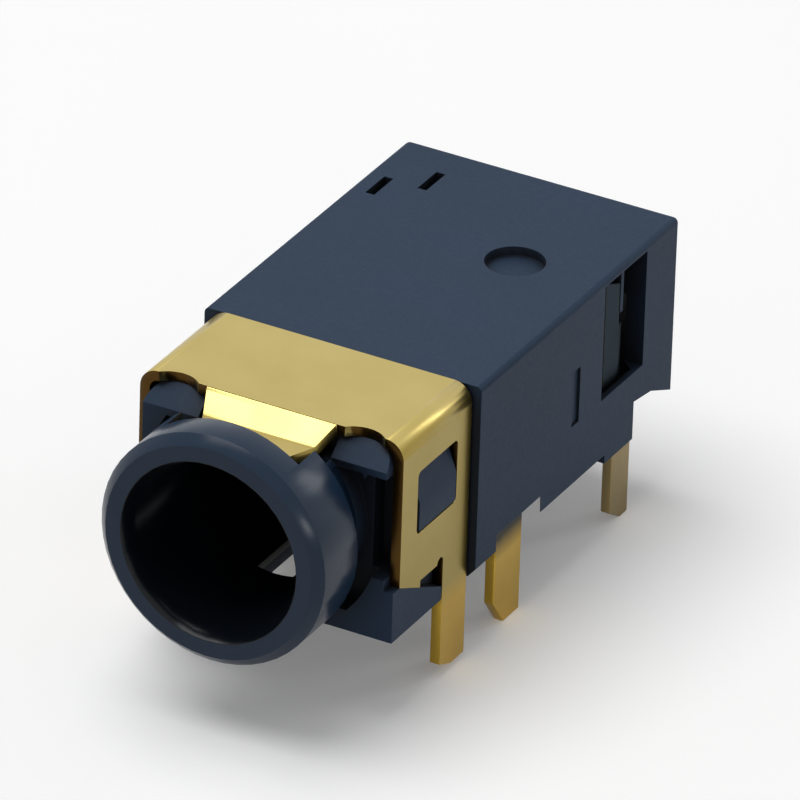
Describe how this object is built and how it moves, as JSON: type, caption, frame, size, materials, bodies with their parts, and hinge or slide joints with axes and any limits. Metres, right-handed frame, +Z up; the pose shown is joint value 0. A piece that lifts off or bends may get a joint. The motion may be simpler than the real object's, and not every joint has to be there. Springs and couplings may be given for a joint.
{
  "type": "audio jack socket",
  "caption": "Low board-mount socket for a 3.5 mm audio plug: dark moulded housing with a round nose, gold-plated stamped frame over its front and through-hole solder legs.",
  "frame": {"origin": "on the board's surface, under the plug axis, at the front face of the housing behind its nose", "axes": "+X to the right seen from the front, +Y back along the plug's way in, +Z up from the board"},
  "size_m": [0.0062, 0.0136, 0.0065],
  "materials": {
    "housing_black": "moulded, satin",
    "gold_plate": "gold-plated, smooth",
    "contact_plate": "gold-plated, duller"
  },
  "bodies": {
    "root": {"housing": "housing_black", "shield_frame": "gold_plate", "ring_spring": "contact_plate", "tip_spring": "contact_plate", "ring_detect_spring": "contact_plate", "tip_detect_spring": "contact_plate"}
  },
  "joints": []
}
